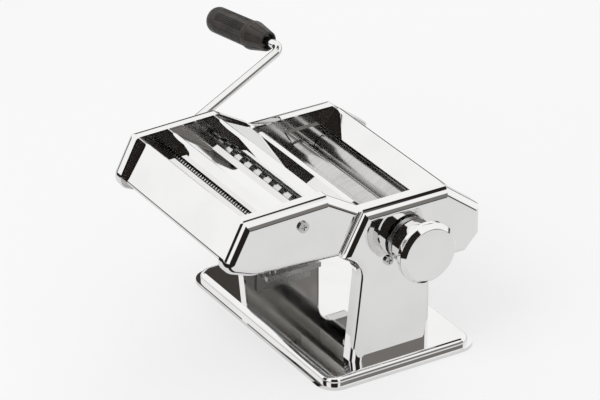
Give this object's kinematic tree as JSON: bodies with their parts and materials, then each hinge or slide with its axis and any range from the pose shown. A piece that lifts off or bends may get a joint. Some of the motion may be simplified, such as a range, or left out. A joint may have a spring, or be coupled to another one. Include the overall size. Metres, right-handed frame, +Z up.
{
  "type": "pasta roller machine",
  "caption": "Hand-cranked chrome pasta roller machine: two rollers with a set gap in a head on two legs, with a lift-off cutter unit in front and a crank.",
  "frame": {"origin": "on the table, under the middle of the base tray", "axes": "+X along the rollers towards the knob, -Y to the front where the cutter unit hangs, +Z up"},
  "size_m": [0.3225, 0.2149, 0.1726],
  "materials": {
    "polished_chrome": "mirror polished",
    "roller_steel": "ground and plated",
    "cutter_steel": "turned",
    "plated_steel": "zinc plated",
    "screw_steel": "plated",
    "gear_steel": "machined, oiled",
    "bush_bronze": "machined",
    "spring_steel": "drawn wire",
    "scraper_plastic": "moulded",
    "comb_steel": "pressed sheet",
    "hook_steel": "folded sheet",
    "crank_chrome": "polished",
    "grip_plastic": "moulded, fluted"
  },
  "bodies": {
    "frame": {"base_plate": "polished_chrome", "base_screws": "screw_steel", "knob_side_shell": "polished_chrome", "crank_side_shell": "polished_chrome", "knob_side_bearing_plate": "plated_steel", "crank_side_bearing_plate": "plated_steel", "foot_brackets": "plated_steel", "shell_posts": "plated_steel", "shell_screws": "screw_steel", "tie_rods": "plated_steel", "tie_nuts": "plated_steel", "roller_bushes": "bush_bronze", "block_guides": "plated_steel", "regulator_bush": "bush_bronze", "index_plate": "plated_steel", "rear_cover": "polished_chrome", "front_cover": "polished_chrome", "hopper_cheeks": "polished_chrome", "roller_scrapers": "scraper_plastic", "cutter_keepers": "hook_steel"},
    "drive_roller": {"rear_roller": "roller_steel", "rear_roller_gear": "gear_steel"},
    "carriage": {"knob_side_bearing_block": "plated_steel", "crank_side_bearing_block": "plated_steel", "carriage_yoke": "plated_steel"},
    "adjustable_roller": {"front_roller": "roller_steel", "front_roller_gear": "gear_steel"},
    "regulator": {"regulator_shaft": "plated_steel", "regulator_cam": "gear_steel", "knob_retaining_screw": "screw_steel", "knob_spring": "spring_steel"},
    "knob": {"knob_drum": "polished_chrome", "knob_cap": "polished_chrome", "index_pin": "plated_steel"},
    "cutter_unit": {"cutter_knob_side_end_plate": "polished_chrome", "cutter_crank_side_end_plate": "polished_chrome", "cutter_bearing_plates": "plated_steel", "cutter_front_cover": "polished_chrome", "cutter_middle_cover": "polished_chrome", "cutter_rear_cover": "polished_chrome", "cutter_tie_rods": "plated_steel", "cutter_tie_nuts": "plated_steel", "cutter_posts": "plated_steel", "cutter_end_screws": "screw_steel", "thin_combs": "comb_steel", "wide_combs": "comb_steel", "cutter_bushes": "bush_bronze", "cutter_hooks": "hook_steel"},
    "thin_front": {"thin_front_cutter": "cutter_steel", "thin_front_cutter_gear": "gear_steel"},
    "thin_rear": {"thin_rear_cutter": "cutter_steel", "thin_rear_cutter_gear": "gear_steel"},
    "wide_front": {"wide_front_cutter": "cutter_steel", "wide_front_cutter_gear": "gear_steel"},
    "wide_rear": {"wide_rear_cutter": "cutter_steel", "wide_rear_cutter_gear": "gear_steel"},
    "crank": {"crank_rod": "crank_chrome", "crank_drive_pin": "screw_steel", "grip_ring": "gear_steel"},
    "grip": {"crank_grip": "grip_plastic"}
  },
  "joints": [
    {"name": "drive_roller_turn", "type": "hinge", "parent": "frame", "child": "drive_roller", "pos_m": [0, 0.0379, 0.099], "axis": [1, 0, 0], "continuous": true},
    {"name": "carriage_slide", "type": "slide", "parent": "frame", "child": "carriage", "axis": [0, 1, 0], "range_m": [0, 0.00205]},
    {"name": "regulator_turn", "type": "hinge", "parent": "frame", "child": "regulator", "pos_m": [0, 0.0125, 0.099], "axis": [1, 0, 0], "range_deg": [0, 270.01]},
    {"name": "knob_pull", "type": "slide", "parent": "regulator", "child": "knob", "axis": [1, 0, 0], "range_m": [-0.002, 0.0025], "stiffness_N_per_m": 900, "deforming": ["knob_spring"]},
    {"name": "adjustable_roller_turn", "type": "hinge", "parent": "carriage", "child": "adjustable_roller", "pos_m": [0, 0.0125, 0.099], "axis": [1, 0, 0], "continuous": true},
    {"name": "cutter_lift_off", "type": "slide", "parent": "frame", "child": "cutter_unit", "axis": [0, 0.4695, 0.8829], "range_m": [0, 0.04]},
    {"name": "thin_front_turn", "type": "hinge", "parent": "cutter_unit", "child": "thin_front", "pos_m": [0, -0.1119, 0.126], "axis": [1, 0, 0], "continuous": true},
    {"name": "thin_rear_turn", "type": "hinge", "parent": "cutter_unit", "child": "thin_rear", "pos_m": [0, -0.0951, 0.126], "axis": [1, 0, 0], "continuous": true},
    {"name": "wide_front_turn", "type": "hinge", "parent": "cutter_unit", "child": "wide_front", "pos_m": [0, -0.0734, 0.126], "axis": [1, 0, 0], "continuous": true},
    {"name": "wide_rear_turn", "type": "hinge", "parent": "cutter_unit", "child": "wide_rear", "pos_m": [0, -0.0566, 0.126], "axis": [1, 0, 0], "continuous": true},
    {"name": "crank_pull_out", "type": "slide", "parent": "wide_front", "child": "crank", "axis": [-1, 0, 0], "range_m": [0, 0.03]},
    {"name": "grip_turn", "type": "hinge", "parent": "crank", "child": "grip", "pos_m": [-0.12264, 0.03049, 0.16299], "axis": [-0.9863, -0.1555, -0.0554], "continuous": true}
  ],
  "couplings": [
    {"joint": "regulator_turn", "follows": "carriage_slide", "rad_per_m": 2298.7},
    {"joint": "adjustable_roller_turn", "follows": "drive_roller_turn", "ratio": -1},
    {"joint": "thin_rear_turn", "follows": "thin_front_turn", "ratio": -1},
    {"joint": "wide_rear_turn", "follows": "wide_front_turn", "ratio": -1}
  ]
}
